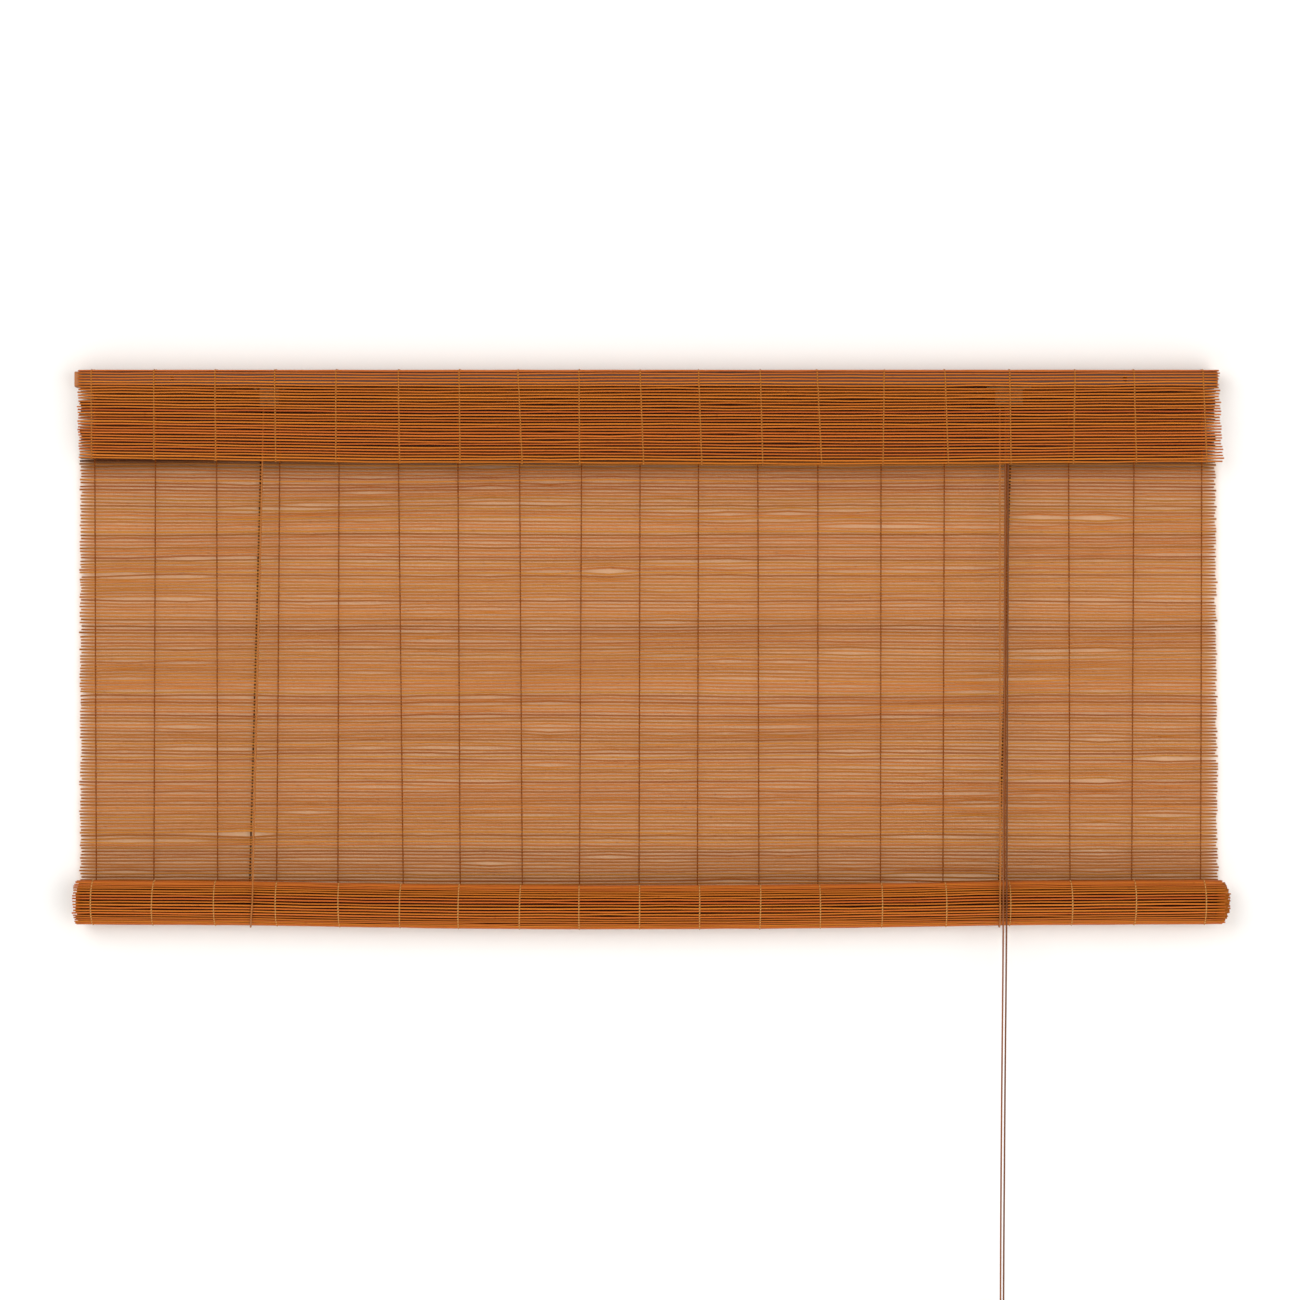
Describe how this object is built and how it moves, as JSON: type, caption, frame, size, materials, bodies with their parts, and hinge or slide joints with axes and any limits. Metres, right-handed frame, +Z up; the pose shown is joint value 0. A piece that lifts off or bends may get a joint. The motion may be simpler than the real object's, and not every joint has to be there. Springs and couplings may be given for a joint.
{
  "type": "bamboo roll up blind",
  "caption": "Woven bamboo matchstick roll-up blind with a wooden headrail and valance, raised by looped lift cords through a pulley and a cord lock.",
  "frame": {"origin": "midway between the two wall screw holes, on the back face of the headrail", "axes": "+X along the headrail to the cord side, -Y towards the room, +Z up"},
  "size_m": [1.208, 0.0686, 1.0744],
  "materials": {
    "stained_wood": "stained and satin varnished softwood",
    "front_bamboo": "varnished split bamboo, caramel brown",
    "shade_bamboo": "varnished split bamboo, lighter where light comes through the gaps",
    "binding_thread": "twisted tan cotton thread",
    "zinc_steel": "zinc plated staple wire",
    "bronzed_steel": "bronzed sheet steel and pins",
    "nylon": "moulded nylon, dark brown",
    "braided_cord": "braided brown polyester cord",
    "tassel_wood": "turned beech, stained and varnished"
  },
  "bodies": {
    "headrail": {"headrail": "stained_wood", "valance_sticks": "front_bamboo", "valance_threads": "binding_thread", "valance_staples": "zinc_steel", "shade_sticks": "shade_bamboo", "shade_threads": "binding_thread", "shade_staples": "zinc_steel", "pulley_case": "bronzed_steel", "pulley_pin": "bronzed_steel", "pulley_screws": "bronzed_steel", "lock_case": "bronzed_steel", "lock_wheel_pin": "bronzed_steel", "lock_pawl_pin": "bronzed_steel", "lock_screws": "bronzed_steel", "cord_staples": "zinc_steel", "left_rear_fall": "braided_cord", "left_front_fall": "braided_cord", "left_traverse": "braided_cord", "left_pull_run": "braided_cord", "right_rear_fall": "braided_cord", "right_front_fall": "braided_cord", "right_turn": "braided_cord", "right_pull_run": "braided_cord"},
    "pulley_wheel": {"pulley_wheel": "nylon"},
    "lock_wheel": {"lock_wheel": "nylon"},
    "lock_pawl": {"lock_pawl": "nylon"},
    "cord_bights": {"left_bight": "braided_cord", "right_bight": "braided_cord"},
    "roll": {"rolled_shade": "front_bamboo", "bottom_rod": "stained_wood"},
    "pull_cords": {"left_pull_cord": "braided_cord", "left_pull_coil": "braided_cord", "left_pull_tail": "braided_cord", "left_coil_tie": "binding_thread", "left_tassel": "tassel_wood", "right_pull_cord": "braided_cord", "right_pull_coil": "braided_cord", "right_pull_tail": "braided_cord", "right_coil_tie": "binding_thread", "right_tassel": "tassel_wood"}
  },
  "joints": [
    {"name": "roll_lift", "type": "slide", "parent": "headrail", "child": "cord_bights", "axis": [0, 0, 1], "range_m": [0, 0.42], "deforming": ["shade_sticks", "shade_threads", "left_rear_fall", "right_rear_fall", "left_front_fall", "right_front_fall", "left_pull_run", "right_pull_run"]},
    {"name": "roll_turn", "type": "hinge", "parent": "cord_bights", "child": "roll", "pos_m": [0, -0.022, -0.55], "axis": [-1, 0, 0], "range_deg": [0, 1050]},
    {"name": "pull_travel", "type": "slide", "parent": "cord_bights", "child": "pull_cords", "axis": [0, 0, -1], "range_m": [0, 1.261], "deforming": ["left_pull_cord", "right_pull_cord"]},
    {"name": "pulley_turn", "type": "hinge", "parent": "headrail", "child": "pulley_wheel", "pos_m": [-0.3985, -0.019, -0.0185], "axis": [0, 1, 0], "continuous": true},
    {"name": "lock_wheel_turn", "type": "hinge", "parent": "headrail", "child": "lock_wheel", "pos_m": [0.3735, -0.019, -0.0167], "axis": [0, 1, 0], "continuous": true},
    {"name": "lock_pawl_tilt", "type": "hinge", "parent": "headrail", "child": "lock_pawl", "pos_m": [0.386, -0.019, -0.019], "axis": [0, 1, 0], "range_deg": [0, 25]}
  ],
  "couplings": [
    {"joint": "roll_turn", "follows": "roll_lift", "rad_per_m": 43.29},
    {"joint": "pull_travel", "follows": "roll_lift", "ratio": 3},
    {"joint": "pulley_turn", "follows": "roll_lift", "rad_per_m": 333.33},
    {"joint": "lock_wheel_turn", "follows": "roll_lift", "rad_per_m": 476.19}
  ]
}
